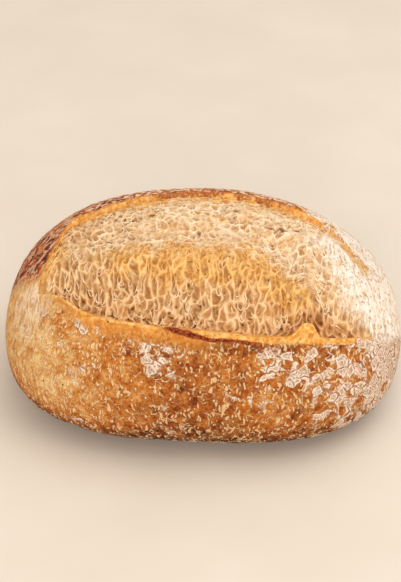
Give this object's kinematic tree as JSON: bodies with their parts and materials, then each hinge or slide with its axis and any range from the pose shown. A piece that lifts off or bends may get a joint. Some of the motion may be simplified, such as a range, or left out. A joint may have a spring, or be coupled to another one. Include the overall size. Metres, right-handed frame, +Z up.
{
  "type": "sourdough loaf",
  "caption": "Oval crusty sourdough loaf, flat underneath, with one long slash opened into a wide bloom of torn crumb between two lips of crust.",
  "frame": {"origin": "on the flat base, under the middle of the loaf", "axes": "+X along the loaf, -Y towards the side that the slash faces, +Z up"},
  "size_m": [0.245, 0.1818, 0.1191],
  "materials": {
    "crust": "matt baked crust, golden brown, dusted with flour, with pale open crumb in the slash"
  },
  "bodies": {
    "root": {"sourdough_loaf": "crust"}
  },
  "joints": []
}
